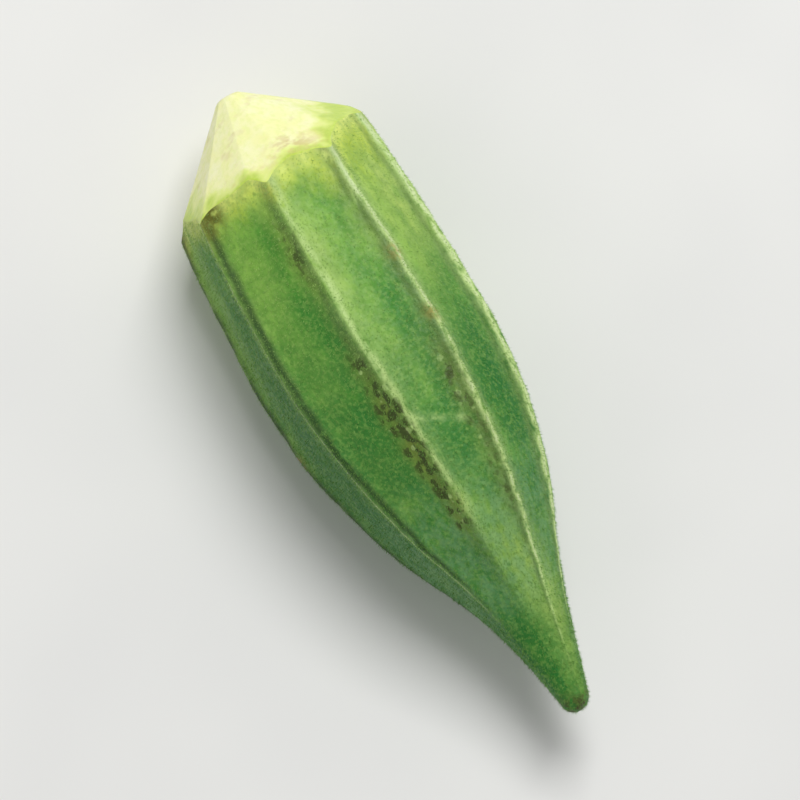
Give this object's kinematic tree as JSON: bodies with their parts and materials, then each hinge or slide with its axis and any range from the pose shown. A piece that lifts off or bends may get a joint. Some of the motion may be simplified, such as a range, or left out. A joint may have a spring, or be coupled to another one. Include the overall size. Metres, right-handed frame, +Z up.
{
  "type": "okra pod",
  "caption": "Fresh ridged okra pod lying on its side, knife-trimmed to a blunt faceted cone at the stem end and drawn out to a blunt beak at the tip.",
  "frame": {"origin": "on the surface that the pod lies on, under the middle of its bounding box", "axes": "+X along the pod, from the trimmed stem end to the beak; +Z up"},
  "size_m": [0.07, 0.0232, 0.023],
  "materials": {
    "pod_skin": null
  },
  "bodies": {
    "root": {"okra_pod": "pod_skin"}
  },
  "joints": []
}
